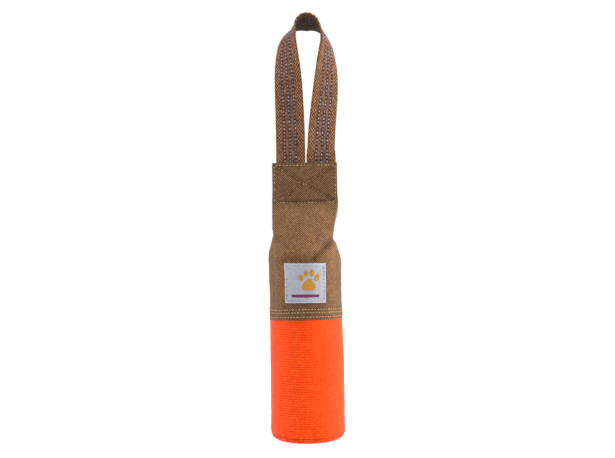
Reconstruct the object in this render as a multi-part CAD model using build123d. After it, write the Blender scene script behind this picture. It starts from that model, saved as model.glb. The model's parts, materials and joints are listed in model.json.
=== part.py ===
from build123d import *
import math
import os

# A dog-training bumper: a foam-cored fabric barrel, a duck-cloth yoke whose sides tuck in to a flat tab,
# and one length of webbing whose two ends are box-stitched into that tab.
# Frame: millimetres, +Z up, origin at the centre of the bottom disc, -Y is the labelled front.

# --- driving dimensions -------------------------------------------------------------------------------
CORE_R = 30.2  # foam core
PANEL_R = 31.1  # outside of the orange side panel
SLEEVE_R = 31.9  # outside of the yoke where it is round
CLOTH = 0.75  # yoke cloth
PANEL_CLOTH = 0.85  # coated orange cloth
GAP = 0.05  # between concentric layers
SEAM_Z = 3.2  # where the bottom disc meets the side panel
HEM_Z = 103.2  # lower edge of the yoke
PANEL_TOP = 113.0  # the orange panel runs this far up under the yoke
SHOULDER_Z = 158.0  # top of the core, where the yoke stops being round
TAB_Z = 199.0  # where the yoke is flat
TAB_TOP = 237.6
TAB_W = 56.5
WEB_W = 25.4
WEB_T = 2.4
WEB_GAP = 1.2  # between the two webbing ends
LOOP_TOP = 361.0  # middle of the webbing at the top of the loop

HINGE_Z = TAB_TOP + 4.4  # the webbing bends here
BEND = 2.6  # half the length of webbing that does the bending
LAYER = CLOTH + GAP
FRONT_Y = -WEB_T / 2 - LAYER  # front face of the tab
TUCK_T = 2 * CLOTH + GAP  # two layers of the side tuck, pressed together
TUCK_Y = WEB_T / 2 + GAP
BACK_Y = TUCK_Y + TUCK_T + LAYER  # back face of the tab
TAB_MID_Y = (FRONT_Y + BACK_Y) / 2
THREAD = 0.35  # how far sewing thread stands proud


def shell(inner, outer, low, high):
    """A tube about Z."""
    tube = Cylinder(outer, high - low) - Cylinder(inner, high - low + 2)
    return Pos(0, 0, (low + high) / 2) * tube


def block(x0, x1, y0, y1, z0, z1):
    middle = Pos((x0 + x1) / 2, (y0 + y1) / 2, (z0 + z1) / 2)
    return middle * Box(x1 - x0, y1 - y0, z1 - z0)


def facing(sketch, x, z, depth):
    """A sketch stood up in the XZ plane at (x, z) and extruded towards the front."""
    plane = Plane(origin=(x, 0, z), x_dir=(1, 0, 0), z_dir=(0, -1, 0))
    return extrude(plane * sketch, depth)


# --- barrel: core, orange cover, yoke sleeve --------------------------------------------------------
BINDING_W = 8.0
BINDING_Z = (12.0, 100.0)
CORE_FOOT_R = 28.7  # the foam is pressed in where the bottom seam is bound
CORE_FOOT_Z = 9.0
CORE_EDGE = 6.0  # rounding at the top of the core
DISC_FLAT_R = 26.0


def foam_core():
    with BuildSketch(Plane.XZ) as half:
        with BuildLine():
            Polyline(
                (0, 1.0),
                (25.0, 1.0),
                (CORE_FOOT_R, 4.2),
                (CORE_FOOT_R, CORE_FOOT_Z),
                (CORE_R, CORE_FOOT_Z + 1.5),
                (CORE_R, SHOULDER_Z - CORE_EDGE),
            )
            start, end = (CORE_R, SHOULDER_Z - CORE_EDGE), (CORE_R - CORE_EDGE, SHOULDER_Z)
            TangentArc(start, end, tangent=(0, 1))
            Polyline(end, (0, SHOULDER_Z), (0, 1.0))
        make_face()
    core = revolve(half.sketch, Axis.Z)
    groove_w = BINDING_W + 0.6
    groove = block(-groove_w / 2, groove_w / 2, 0, 40, BINDING_Z[0] - 1, BINDING_Z[1] + 1)
    return core - (groove & shell(CORE_R - PANEL_CLOTH - 0.1, CORE_R + 1, 0, SHOULDER_Z))


def bottom_disc():
    with BuildSketch(Plane.XZ) as half:
        with BuildLine():
            Line((0, 0), (DISC_FLAT_R, 0))
            TangentArc((DISC_FLAT_R, 0), (PANEL_R, SEAM_Z), tangent=(1, 0))
            Line((PANEL_R, SEAM_Z), (PANEL_R - 1.0, SEAM_Z))
            inner = (DISC_FLAT_R - 0.6, PANEL_CLOTH)
            ThreePointArc((PANEL_R - 1.0, SEAM_Z), (28.4, 1.6), inner)
            Polyline(inner, (0, PANEL_CLOTH), (0, 0))
        make_face()
    return revolve(half.sketch, Axis.Z)


def seam_binding(outer, low, high):
    """The tape over a vertical back seam, inside the cover."""
    ring = shell(outer - PANEL_CLOTH, outer, low, high)
    return ring & block(-BINDING_W / 2, BINDING_W / 2, 0, 40, low, high)


# --- hem, back seam and label -----------------------------------------------------------------------
HEM_ROWS = {"lower": 2.6, "middle": 6.2, "upper": 8.6}  # above the hem's edge
THREAD_W = 0.8
LAP_W = 10.0
LAP_T = 0.5
LAP_LOW = HEM_Z + 9.8

LABEL_W = 34.2  # across the chord; 36 mm of cloth
LABEL_H = 33.0
LABEL_Z = 135.0
LABEL_T = 0.5
LABEL_R = SLEEVE_R + LABEL_T
LABEL_MARGIN = 1.6  # from the label's edge to its stitching
MOTIF_T = 0.25


def hem_thread(height):
    low = HEM_Z + height - THREAD_W / 2
    return shell(SLEEVE_R, SLEEVE_R + THREAD, low, low + THREAD_W)


def back_lap():
    ring = shell(SLEEVE_R, SLEEVE_R + LAP_T, LAP_LOW, SHOULDER_Z)
    return ring & block(-LAP_W / 2, LAP_W / 2, 0, 40, LAP_LOW, SHOULDER_Z)


def back_lap_threads():
    outer = SLEEVE_R + LAP_T
    ring = shell(outer, outer + THREAD, LAP_LOW, SHOULDER_Z)
    rows = []
    for side in (-1, 1):
        x = side * (LAP_W / 2 - 1.5)
        rows.append(ring & block(x - 0.4, x + 0.4, 0, 40, LAP_LOW, SHOULDER_Z))
    return Compound(children=[row.solid() for row in rows])


def on_label(sketch, x, z, thickness):
    """A flat sketch wrapped on the label's face, as a thin curved solid."""
    low, high = LABEL_Z - LABEL_H, LABEL_Z + LABEL_H
    return facing(sketch, x, z, 40) & shell(LABEL_R, LABEL_R + thickness, low, high)


def label_patch():
    ring = shell(SLEEVE_R, LABEL_R, LABEL_Z - LABEL_H / 2, LABEL_Z + LABEL_H / 2)
    return ring & block(-LABEL_W / 2, LABEL_W / 2, -40, 0, 0, SHOULDER_Z)


def label_thread():
    w, h = LABEL_W - 2 * LABEL_MARGIN, LABEL_H - 2 * LABEL_MARGIN
    frame = Rectangle(w, h) - Rectangle(w - 2 * THREAD_W, h - 2 * THREAD_W)
    return on_label(frame, 0, LABEL_Z, THREAD)


def paw_motif():
    """A plain paw print: one pad and four toes."""
    pad = Pos(0, -3.4) * Ellipse(5.0, 4.2)
    toes = [(-7.0, 1.6, 20), (-2.7, 6.0, 8), (2.7, 6.0, -8), (7.0, 1.6, -20)]
    prints = [pad] + [Pos(x, z) * Rot(0, 0, turn) * Ellipse(1.9, 2.8) for x, z, turn in toes]
    solids = [on_label(p, 1.6, LABEL_Z + 1.8, MOTIF_T).solid() for p in prints]
    return Compound(children=solids)


def label_stripe():
    return on_label(RectangleRounded(22.0, 2.2, 0.8), 0, LABEL_Z - 10.4, MOTIF_T)


# --- neck: the empty cloth between the round barrel and the flat tab ----------------------------------
NECK_SECTIONS = (  # share of the height, width, depth, of a stadium that starts as a circle
    (0.0, 2 * SLEEVE_R, 2 * SLEEVE_R - 0.1),
    (0.3, 61.5, 47.0),
    (0.65, 58.0, 24.0),
    (1.0, TAB_W, BACK_Y - FRONT_Y),
)


def stadium_stack(inset):
    faces = []
    for share, width, depth in NECK_SECTIONS:
        z = SHOULDER_Z + share * (TAB_Z - SHOULDER_Z)
        shape = SlotOverall(width - 2 * inset, depth - 2 * inset)
        faces.append(Pos(0, share * TAB_MID_Y, z) * shape)
    return loft(faces)


def neck():
    return stadium_stack(0) - stadium_stack(CLOTH)


# --- tab: the flat, box-stitched end of the yoke -----------------------------------------------------
TUCK_DEPTH = 22.0
BOX_W = 52.6
BOX_LOW = 202.5
BOX_HIGH = 235.2


def tab_panel(y):
    return block(-TAB_W / 2, TAB_W / 2, y, y + CLOTH, TAB_Z, TAB_TOP)


def tuck(side):
    inner, outer = side * (TAB_W / 2 - TUCK_DEPTH), side * TAB_W / 2
    return block(min(inner, outer), max(inner, outer), TUCK_Y, TUCK_Y + TUCK_T, TAB_Z, TAB_TOP)


def webbing_strip(side, low, high):
    near, far = side * WEB_GAP / 2, side * (WEB_GAP / 2 + WEB_W)
    return block(min(near, far), max(near, far), -WEB_T / 2, WEB_T / 2, low, high)


def box_thread(y):
    """The stitched box and its cross, as one flat run of thread."""
    height = BOX_HIGH - BOX_LOW
    frame = Rectangle(BOX_W, height) - Rectangle(BOX_W - 2 * THREAD_W, height - 2 * THREAD_W)
    length = math.hypot(BOX_W, height) - 2 * THREAD_W
    tilt = math.degrees(math.atan2(height, BOX_W))
    cross = frame + Rot(0, 0, tilt) * Rectangle(length, THREAD_W)
    cross = cross + Rot(0, 0, -tilt) * Rectangle(length, THREAD_W)
    plane = Plane(origin=(0, y, (BOX_LOW + BOX_HIGH) / 2), x_dir=(1, 0, 0), z_dir=(0, -1, 0))
    return extrude(plane * cross, THREAD)


# --- handle: the free loop of webbing ---------------------------------------------------------------
LEG_X = WEB_GAP / 2 + WEB_W / 2  # middle of each leg where it leaves the tab
ARCH_HALF = 17.4  # the arch is half an ellipse, this wide from its middle
ARCH_HEIGHT = 23.0
LEAN_BACK = 5.0  # the arch sits this far behind the legs
LEAN_HEIGHT = 46.0  # over this much of the loop's top
ARCH_DROP = 16.5  # degrees that the arch's back edge dips
TWIST_LENGTH = 44.0  # from the top of the arch, where the webbing is edge on, to half turned
TWIST_POWER = 1.7
FLAT_HEIGHT = 28.0  # the tab holds the webbing flat over the bottom of each leg
ARCH_STEPS = 10
LEG_STEPS = 14


def smooth(t):
    t = min(1.0, max(0.0, t))
    return t * t * (3 - 2 * t)


def half_line():
    """The middle of the webbing from the top of the arch down to the left leg's foot."""
    spring_z, foot_z = LOOP_TOP - ARCH_HEIGHT, HINGE_Z + BEND
    points = []
    for i in range(ARCH_STEPS):
        turn = math.pi / 2 * i / ARCH_STEPS
        points.append((ARCH_HALF * math.sin(turn), spring_z + ARCH_HEIGHT * math.cos(turn)))
    for i in range(LEG_STEPS + 1):
        drop = i / LEG_STEPS
        narrowing = (ARCH_HALF - LEG_X) * math.sin(math.pi / 2 * drop) ** 2
        points.append((ARCH_HALF - narrowing, spring_z + (foot_z - spring_z) * drop))
    lean = [LEAN_BACK * smooth(1 - (LOOP_TOP - z) / LEAN_HEIGHT) for x, z in points]
    return [Vector(-x, y, z) for (x, z), y in zip(points, lean)]


def webbing_section(point, tangent, away, side):
    """The webbing's rectangle, turned from edge on at the top to face on in the legs."""
    hold = smooth((point.Z - HINGE_Z - BEND) / FLAT_HEIGHT)
    turn = hold * math.pi / 2 / (1 + (away / TWIST_LENGTH) ** TWIST_POWER)
    drop = math.radians(ARCH_DROP)
    depth = math.sin(turn)
    across = Vector(side * math.cos(turn), -depth * math.cos(drop), depth * math.sin(drop))
    across = (across - tangent * across.dot(tangent)).normalized()
    return Plane(origin=point, x_dir=across, z_dir=tangent) * Rectangle(WEB_W, WEB_T)


def webbing_loop():
    left = half_line()
    line = left[::-1] + [Vector(-p.X, p.Y, p.Z) for p in left[1:]]
    top, last = len(left) - 1, len(line) - 1
    run = [0.0]
    for a, b in zip(line, line[1:]):
        run.append(run[-1] + (b - a).length)
    sections = []
    for i, point in enumerate(line):
        if i in (0, last):
            tangent = Vector(0, 0, 1 if i == 0 else -1)
        else:
            tangent = (line[i + 1] - line[i - 1]).normalized()
        side = 1 if i < top else -1
        sections.append(webbing_section(point, tangent, abs(run[i] - run[top]), side))
    return loft(sections, ruled=True)


# --- all nodes --------------------------------------------------------------------------------------
def main():
    parts = {
        "foam_core": foam_core(),
        "orange_side_panel": shell(CORE_R + GAP, PANEL_R, SEAM_Z, PANEL_TOP),
        "orange_bottom_disc": bottom_disc(),
        "bottom_seam_binding": shell(CORE_FOOT_R + 0.1, CORE_R, SEAM_Z + 0.4, SEAM_Z + 5.4),
        "orange_seam_binding": seam_binding(CORE_R, *BINDING_Z),
        "yoke_sleeve": shell(PANEL_R + GAP, SLEEVE_R, HEM_Z, SHOULDER_Z),
        "yoke_seam_binding": seam_binding(PANEL_R - GAP, PANEL_TOP + 1.5, SHOULDER_Z - 1.0),
        "yoke_back_lap": back_lap(),
        "yoke_back_lap_threads": back_lap_threads(),
        "yoke_neck": neck(),
        "label_patch": label_patch(),
        "label_paw_motif": paw_motif(),
        "label_stripe": label_stripe(),
        "label_thread": label_thread(),
        "tab_front_panel": tab_panel(FRONT_Y),
        "tab_back_panel": tab_panel(BACK_Y - CLOTH),
        "tab_left_tuck": tuck(-1),
        "tab_right_tuck": tuck(1),
        "box_needle_thread": box_thread(FRONT_Y),
        "box_bobbin_thread": box_thread(BACK_Y + THREAD),
        "webbing_left_end": webbing_strip(-1, BOX_LOW, HINGE_Z - BEND),
        "webbing_right_end": webbing_strip(1, BOX_LOW, HINGE_Z - BEND),
        "webbing_left_bend": webbing_strip(-1, HINGE_Z - BEND, HINGE_Z + BEND),
        "webbing_right_bend": webbing_strip(1, HINGE_Z - BEND, HINGE_Z + BEND),
        "webbing_loop": webbing_loop(),
    }
    for row, height in HEM_ROWS.items():
        parts[f"hem_thread_{row}"] = hem_thread(height)
    os.makedirs("parts", exist_ok=True)
    for name, shape in parts.items():
        export_step(shape, f"parts/{name}.step")


main()
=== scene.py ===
import json
import math
import bpy
import mathutils
import numpy as np
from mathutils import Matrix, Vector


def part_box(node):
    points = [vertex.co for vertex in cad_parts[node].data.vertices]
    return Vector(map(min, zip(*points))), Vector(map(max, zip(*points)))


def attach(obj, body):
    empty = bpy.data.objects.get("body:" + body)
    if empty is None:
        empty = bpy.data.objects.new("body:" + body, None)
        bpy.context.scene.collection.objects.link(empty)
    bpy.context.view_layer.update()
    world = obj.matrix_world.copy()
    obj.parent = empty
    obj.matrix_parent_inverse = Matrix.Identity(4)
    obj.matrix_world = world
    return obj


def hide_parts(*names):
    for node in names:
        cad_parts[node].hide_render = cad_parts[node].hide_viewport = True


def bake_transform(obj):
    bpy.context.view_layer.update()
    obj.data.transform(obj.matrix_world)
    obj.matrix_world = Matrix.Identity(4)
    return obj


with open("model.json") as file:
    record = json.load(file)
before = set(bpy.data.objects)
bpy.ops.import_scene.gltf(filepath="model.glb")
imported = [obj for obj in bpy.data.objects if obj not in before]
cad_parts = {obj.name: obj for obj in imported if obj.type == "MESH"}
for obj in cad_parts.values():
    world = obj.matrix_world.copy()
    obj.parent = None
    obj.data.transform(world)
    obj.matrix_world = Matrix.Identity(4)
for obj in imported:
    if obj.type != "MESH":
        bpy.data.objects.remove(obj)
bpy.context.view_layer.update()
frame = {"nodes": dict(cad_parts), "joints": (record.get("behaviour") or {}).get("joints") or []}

# A dog-training bumper: orange foam-filled barrel, brown cloth yoke with a box-stitched tab, webbing loop.
# Every shape is worked out here in millimetres and written to its mesh in metres. -Y is the front.
MM = 0.001


def corners(node):
    low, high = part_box(node)
    return np.array(low) / MM, np.array(high) / MM


# --- sizes, from the frame, in millimetres
SLEEVE_LOW, SLEEVE_HIGH = corners("yoke_sleeve")
TAB_LOW, TAB_HIGH = corners("tab_front_panel")
LABEL_LOW, LABEL_HIGH = corners("label_patch")
LAP_LOW, LAP_HIGH = corners("yoke_back_lap")
END_LOW, END_HIGH = corners("webbing_left_end")
BACK_Y = corners("tab_back_panel")[1][1]
COVER_R, _, COVER_TOP = corners("orange_side_panel")[1]
LOOP_HIGH_Z = corners("webbing_loop")[1][2]
HINGE_Z = next(j for j in frame["joints"] if j["name"] == "handle_swing")["pos_m"][2] / MM

HEM_Z, SHOULDER_Z = SLEEVE_LOW[2], SLEEVE_HIGH[2]
SLEEVE_R = SLEEVE_HIGH[0] - 0.5
TAB_Z, TAB_TOP, TAB_HALF = TAB_LOW[2] + 3.0, TAB_HIGH[2], TAB_HIGH[0]
FRONT_Y = TAB_LOW[1]
CLOTH = 0.7  # thickness of the yoke's cloth
FRONT_FOLD_R = -FRONT_Y  # the front fold wraps the webbing
TUCK_GAP = 0.12
BACK_FOLD_R = (BACK_Y + FRONT_Y - TUCK_GAP) / 2
HALF_GIRTH = math.pi * SLEEVE_R
WEB_T = END_HIGH[1] - END_LOW[1]
WEB_HALF = (END_HIGH[0] - END_LOW[0]) / 2


# --- mesh building
def new_mesh(name, points, faces, uv, material, tone=None, girth=None):
    """A mesh object from points in millimetres, with uv, a place on the cloth in millimetres, and tone, how
    light it is, for each. A closed tube gives its girth, so that uv runs on over its seam."""
    mesh = bpy.data.meshes.new(name)
    mesh.from_pydata((np.asarray(points) * MM).tolist(), [], faces)
    mesh.shade_smooth()
    corner = np.zeros(len(mesh.loops), np.int32)
    mesh.loops.foreach_get("vertex_index", corner)
    places = np.asarray(uv, np.float32)[corner]
    if girth:
        starts = np.zeros(len(mesh.polygons), np.int32)
        mesh.polygons.foreach_get("loop_start", starts)
        furthest = np.maximum.reduceat(places[:, 0], starts)
        furthest = np.repeat(furthest, np.diff(np.r_[starts, len(places)]))
        places[:, 0] += np.where(furthest - places[:, 0] > girth / 2, girth, 0)
    layer = mesh.uv_layers.new(name="cloth")
    layer.data.foreach_set("uv", places.ravel())
    shade = mesh.attributes.new("tone", "FLOAT", "POINT")
    tones = np.ones(len(points)) if tone is None else np.asarray(tone)
    shade.data.foreach_set("value", tones.astype(np.float32).ravel())
    mesh.materials.append(material)
    obj = bpy.data.objects.new(name, mesh)
    bpy.context.scene.collection.objects.link(obj)
    return obj


def grid_faces(rows, columns, closed=False, start=0, flip=False):
    """Quads over a grid of rows x columns points; closed joins the last column to the first."""
    faces = []
    for r in range(rows - 1):
        for c in range(columns if closed else columns - 1):
            d = (c + 1) % columns
            a = start + r * columns
            b = a + columns
            quad = (a + c, a + d, b + d, b + c)
            faces.append(quad[::-1] if flip else quad)
    return faces


def unit(vectors):
    return vectors / np.maximum(np.linalg.norm(vectors, axis=-1, keepdims=True), 1e-9)


def grid_normals(points, closed):
    """Unit normals of a grid of points, from its own rows and columns."""
    if closed:
        across = np.roll(points, -1, 1) - np.roll(points, 1, 1)
    else:
        across = np.gradient(points, axis=1)
    return unit(np.cross(across, np.gradient(points, axis=0)))


def run_along(line):
    """Length along a line of points, from 0 at its start."""
    return np.r_[0, np.cumsum(np.linalg.norm(np.diff(line, axis=0), axis=1))]


def read_off(values, run, at):
    """Rows of three values, one row per place in run, read off at the places at."""
    return np.stack([np.interp(at, run, values[:, i]) for i in range(3)], -1)


def spokes(count):
    """Angles evenly round a circle."""
    return np.linspace(0, 2 * math.pi, count, endpoint=False)


def round_points(radius, angle, z):
    """Points round the Z axis; angle is measured from the front, positive to the right."""
    return np.stack([radius * np.sin(angle), -radius * np.cos(angle), z + 0 * angle], -1)


def ripple(points, size, seed):
    """Smooth unevenness from about -1 to 1, with bumps about size across."""
    rng = np.random.RandomState(seed)
    total = np.zeros(points.shape[:-1])
    for _ in range(7):
        way = rng.normal(size=3)
        way *= 2 * math.pi / size * rng.uniform(0.5, 1.5) / np.linalg.norm(way)
        total += np.sin(points @ way + rng.uniform(0, 2 * math.pi))
    return total / 3.2


def smooth(t):
    t = np.clip(t, 0, 1)
    return t * t * (3 - 2 * t)


def bell(x, width):
    return np.exp(-((x / width) ** 2))


def from_line(x, z, start, end):
    """Distance in the XZ plane from the stretch between start and end."""
    (x0, z0), (x1, z1) = start, end
    dx, dz = x1 - x0, z1 - z0
    t = np.clip(((x - x0) * dx + (z - z0) * dz) / (dx * dx + dz * dz), 0, 1)
    return np.hypot(x - x0 - t * dx, z - z0 - t * dz)


# --- materials
def rgb(red, green, blue):
    """A colour from its screen values, 0 to 255."""
    values = [v / 255 for v in (red, green, blue)]
    return [v / 12.92 if v < 0.04045 else ((v + 0.055) / 1.055) ** 2.4 for v in values] + [1.0]


class Shade:
    """A material being made: each call adds a shader node and gives back its output."""

    def __init__(self, name, roughness, sheen=0.0, specular=0.5):
        self.material = bpy.data.materials.new(name)
        self.material.use_nodes = True
        self.tree = self.material.node_tree
        self.surface = self.tree.nodes["Principled BSDF"]
        self.surface.inputs["Roughness"].default_value = roughness
        self.surface.inputs["Sheen Weight"].default_value = sheen
        self.surface.inputs["Sheen Roughness"].default_value = 0.4
        self.surface.inputs["Specular IOR Level"].default_value = specular

    def add(self, kind, **settings):
        node = self.tree.nodes.new("ShaderNode" + kind)
        for key, value in settings.items():
            setattr(node, key, value)
        return node

    def set(self, socket, value):
        if isinstance(value, bpy.types.NodeSocket):
            self.tree.links.new(value, socket)
        else:
            socket.default_value = value

    def math(self, operation, *values):
        node = self.add("Math", operation=operation)
        for socket, value in zip(node.inputs, values):
            self.set(socket, value)
        return node.outputs[0]

    def mix(self, factor, first, second, blend="MIX"):
        node = self.add("Mix", data_type="RGBA", blend_type=blend)
        for index, value in ((0, factor), (6, first), (7, second)):
            self.set(node.inputs[index], value)
        return node.outputs[2]

    def times(self, colour, amount):
        return self.mix(1.0, colour, amount, "MULTIPLY")

    def spread(self, value, low, high, to_low, to_high):
        """value from low..high, moved to to_low..to_high and kept there."""
        node = self.add("MapRange")
        for socket, number in zip(node.inputs, (value, low, high, to_low, to_high)):
            self.set(socket, number)
        return node.outputs[0]

    def vary(self, colour, by, low, high, darkest, lightest):
        """colour, times darkest where by is low and lightest where it is high."""
        return self.times(colour, self.spread(by, low, high, darkest, lightest))

    def split(self, vector):
        node = self.add("SeparateXYZ")
        self.set(node.inputs[0], vector)
        return node.outputs

    def cloth(self):
        """The place on the cloth, in millimetres along and up it."""
        x, y, _ = self.split(self.add("UVMap", uv_map="cloth").outputs[0])
        return x, y

    def place(self):
        """The place in space, in millimetres, for the parts that come from the frame."""
        scale = self.add("VectorMath", operation="SCALE")
        self.set(scale.inputs[0], self.add("TexCoord").outputs["Object"])
        scale.inputs["Scale"].default_value = 1 / MM
        return scale.outputs[0]

    def tone(self):
        return self.add("Attribute", attribute_name="tone").outputs["Fac"]

    def vector(self, x, y):
        node = self.add("CombineXYZ")
        self.set(node.inputs[0], x)
        self.set(node.inputs[1], y)
        return node.outputs[0]

    def noise(self, vector, scale, detail):
        node = self.add("TexNoise")
        self.set(node.inputs["Vector"], vector)
        node.inputs["Scale"].default_value = scale
        node.inputs["Detail"].default_value = detail
        return node.outputs["Fac"]

    def speckle(self, x, y):
        """A random number for each whole x and y."""
        node = self.add("TexWhiteNoise", noise_dimensions="2D")
        self.set(node.inputs["Vector"], self.vector(x, y))
        return node.outputs["Value"]

    def bump(self, height, depth, strength):
        """depth is in millimetres."""
        node = self.add("Bump")
        node.inputs["Strength"].default_value = strength
        node.inputs["Distance"].default_value = depth * MM
        self.set(node.inputs["Height"], height)
        self.set(self.surface.inputs["Normal"], node.outputs[0])

    def colour(self, value):
        self.set(self.surface.inputs["Base Color"], value)

    def roughness(self, value):
        self.set(self.surface.inputs["Roughness"], value)


def cells(shade, x, y, pitch_x, pitch_y):
    """Whole cell numbers, and the place in the cell from -0.5 to 0.5."""
    out = []
    for value, pitch in ((x, pitch_x), (y, pitch_y)):
        scaled = shade.math("DIVIDE", value, pitch)
        whole = shade.math("FLOOR", scaled)
        out += [whole, shade.math("SUBTRACT", shade.math("SUBTRACT", scaled, whole), 0.5)]
    return out[0], out[2], out[1], out[3]


def thread_height(shade, across, along, dip):
    """Height of a thread in its cell: round across itself, dipping at its ends."""
    round_part = shade.math("MULTIPLY_ADD", shade.math("MULTIPLY", across, across), -3.4, 1.0)
    end_part = shade.math("MULTIPLY_ADD", shade.math("MULTIPLY", along, along), -4 * dip, 1.0)
    return shade.math("MULTIPLY", round_part, end_part)


def crossed_height(shade, in_x, in_y, upright, warp_dip, weft_dip):
    """Height of the thread on top: the upright one where upright is 1."""
    warp = thread_height(shade, in_x, in_y, warp_dip)
    weft = thread_height(shade, in_y, in_x, weft_dip)
    return shade.math("MULTIPLY_ADD", shade.math("SUBTRACT", warp, weft), upright, weft)


def woven(shade, x, y, pitch):
    """Plain weave of threads of that pitch. Gives the height, 1 where an upright thread is on top, and a
    random number per cell."""
    column, row, in_x, in_y = cells(shade, x, y, pitch, pitch)
    step = shade.math("FLOORED_MODULO", shade.math("ADD", column, row), 2.0)
    upright = shade.math("LESS_THAN", step, 0.5)
    height = crossed_height(shade, in_x, in_y, upright, 0.25, 0.45)
    return height, upright, shade.speckle(column, row)


def once(make):
    """Each material is made once and shared."""
    made = {}

    def shared(*details):
        if details not in made:
            made[details] = make(*details)
        return made[details]

    return shared


BROWN_PITCH, ORANGE_PITCH = 0.98, 1.035  # from one thread to the next


@once
def brown_cloth():
    """Heavy brown nylon in plain weave: dark upright threads and paler cross threads."""
    shade = Shade("brown_cloth", 0.8, 0.06, 0.12)
    x, y = shade.cloth()
    height, upright, chance = woven(shade, x, y, BROWN_PITCH)
    tan = shade.mix(chance, rgb(134, 98, 66), rgb(168, 126, 84))
    brown = shade.mix(chance, rgb(54, 32, 20), rgb(78, 50, 33))
    colour = shade.mix(upright, tan, brown)
    colour = shade.vary(colour, height, 0.1, 0.9, 0.55, 1.08)
    patches = shade.noise(shade.vector(x, y), 0.07, 4.0)
    colour = shade.vary(colour, patches, 0.3, 0.7, 0.92, 1.08)
    shade.colour(shade.times(colour, shade.tone()))
    shade.roughness(shade.spread(chance, 0, 1, 0.7, 0.85))
    shade.bump(height, 0.28, 0.8)
    return shade.material


@once
def orange_cloth():
    """Coated signal-orange nylon with a fine weave, every other row of it darker."""
    shade = Shade("orange_cloth", 0.46, 0.02, 0.09)
    x, y = shade.cloth()
    height, upright, chance = woven(shade, x, y, ORANGE_PITCH)
    threads = shade.mix(chance, rgb(212, 36, 0), rgb(228, 50, 0))
    crossing = shade.mix(chance, rgb(240, 72, 0), rgb(244, 95, 4))
    colour = shade.mix(upright, crossing, threads)
    colour = shade.vary(colour, height, 0.0, 0.8, 0.33, 1.1)
    row = shade.math("PINGPONG", shade.math("FLOOR", shade.math("DIVIDE", y, ORANGE_PITCH)), 1.0)
    colour = shade.vary(colour, row, 0, 1, 0.82, 1.08)
    wear = shade.noise(shade.vector(x, y), 0.05, 5.0)
    colour = shade.vary(colour, wear, 0.35, 0.7, 0.95, 1.03)
    shade.colour(shade.times(colour, shade.tone()))
    shade.roughness(shade.spread(chance, 0, 1, 0.44, 0.56))
    shade.bump(height, 0.3, 0.9)
    return shade.material


THREADS = {  # darkest and lightest strands, and roughness
    "tan_thread": ((148, 114, 76), (200, 162, 114), 0.6),
    "box_thread": ((104, 76, 52), (184, 146, 100), 0.6),
    "label_thread": ((52, 56, 80), (118, 122, 148), 0.6),
    "red_thread": ((136, 26, 8), (196, 42, 12), 0.6),
    "tracer_thread": ((84, 82, 104), (146, 144, 168), 0.5),
}


@once
def thread(name):
    """Twisted sewing thread."""
    dark, light, roughness = THREADS[name]
    shade = Shade(name, roughness, 0.05, 0.2)
    along, round_it = shade.cloth()
    twist = shade.math("SINE", shade.math("MULTIPLY_ADD", round_it, 2.6, shade.math("MULTIPLY", along, 9.0)))
    stitch = shade.speckle(shade.math("FLOOR", shade.math("DIVIDE", along, 1.3)), 3.0)
    colour = shade.mix(stitch, rgb(*dark), rgb(*light))
    colour = shade.vary(colour, twist, -1, 1, 0.72, 1.1)
    shade.colour(shade.times(colour, shade.tone()))
    shade.bump(twist, 0.06, 0.8)
    return shade.material


SATINS = {  # darkest and lightest threads, their spacing, sheen
    "label_cloth": ((132, 134, 144), (152, 154, 164), 0.42, 0.05),
    "ochre_thread": ((146, 100, 30), (170, 124, 48), 0.5, 0.1),
    "plum_thread": ((74, 38, 54), (98, 56, 76), 0.5, 0.1),
}


def satin(name):
    """Close parallel threads, as in a woven label or embroidery."""
    dark, light, pitch, sheen = SATINS[name]
    shade = Shade(name, 0.55, sheen, 0.15)
    x, y = shade.cloth()
    column, row, in_x, in_y = cells(shade, x, y, pitch * 2.2, pitch)
    chance = shade.speckle(column, row)
    ridge = thread_height(shade, in_y, in_x, 0.2)
    colour = shade.mix(chance, rgb(*dark), rgb(*light))
    colour = shade.vary(colour, ridge, 0.1, 0.9, 0.82, 1.03)
    cloudy = shade.noise(shade.vector(x, y), 0.16, 3.0)
    colour = shade.vary(colour, cloudy, 0.3, 0.7, 0.95, 1.05)
    shade.colour(shade.times(colour, shade.tone()))
    shade.bump(ridge, 0.08, 0.7)
    return shade.material


TRACERS = (0.20, 0.01, -0.185)  # columns of light floats, as shares of the webbing's width from its middle
TRACER_PITCH, TRACER_LONG, TRACER_WIDE = 3.1, 0.98, 0.64  # long and wide are half sizes


def webbing_cloth():
    """Heavy webbing: fine zigzag weave at the sides, rust-brown ribs between the tracers."""
    shade = Shade("webbing", 0.78, 0.06, 0.12)
    x, y = shade.cloth()
    column, row, in_x, in_y = cells(shade, x, y, 1.2, 1.57)
    chance = shade.speckle(column, row)
    zigzag = shade.math("PINGPONG", shade.math("ADD", row, column), 1.0)
    height = crossed_height(shade, in_x, in_y, zigzag, 0.3, 0.5)
    brown = shade.mix(chance, rgb(50, 32, 24), rgb(76, 50, 36))
    rust = shade.mix(chance, rgb(128, 83, 48), rgb(164, 116, 76))
    colour = shade.mix(zigzag, rust, brown)
    gap, rib = 0.0, 0.0  # 1 in the dark gaps under the tracers, and in the ribs beside them
    for share in TRACERS:
        away = shade.math("ABSOLUTE", shade.math("SUBTRACT", x, WEB_HALF + share * WEB_HALF * 2))
        gap = shade.math("MAXIMUM", shade.spread(away, 0.8, 1.15, 1.0, 0.0), gap)
        rib = shade.math("MAXIMUM", shade.spread(away, 2.3, 2.6, 1.0, 0.0), rib)
    colour = shade.mix(rib, colour, shade.mix(chance, rgb(76, 48, 36), rgb(134, 88, 60)))
    colour = shade.mix(gap, colour, rgb(44, 30, 30))
    colour = shade.vary(colour, height, 0.1, 0.9, 0.55, 1.08)
    shade.colour(shade.times(colour, shade.tone()))
    shade.bump(height, 0.3, 0.8)
    return shade.material


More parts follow.
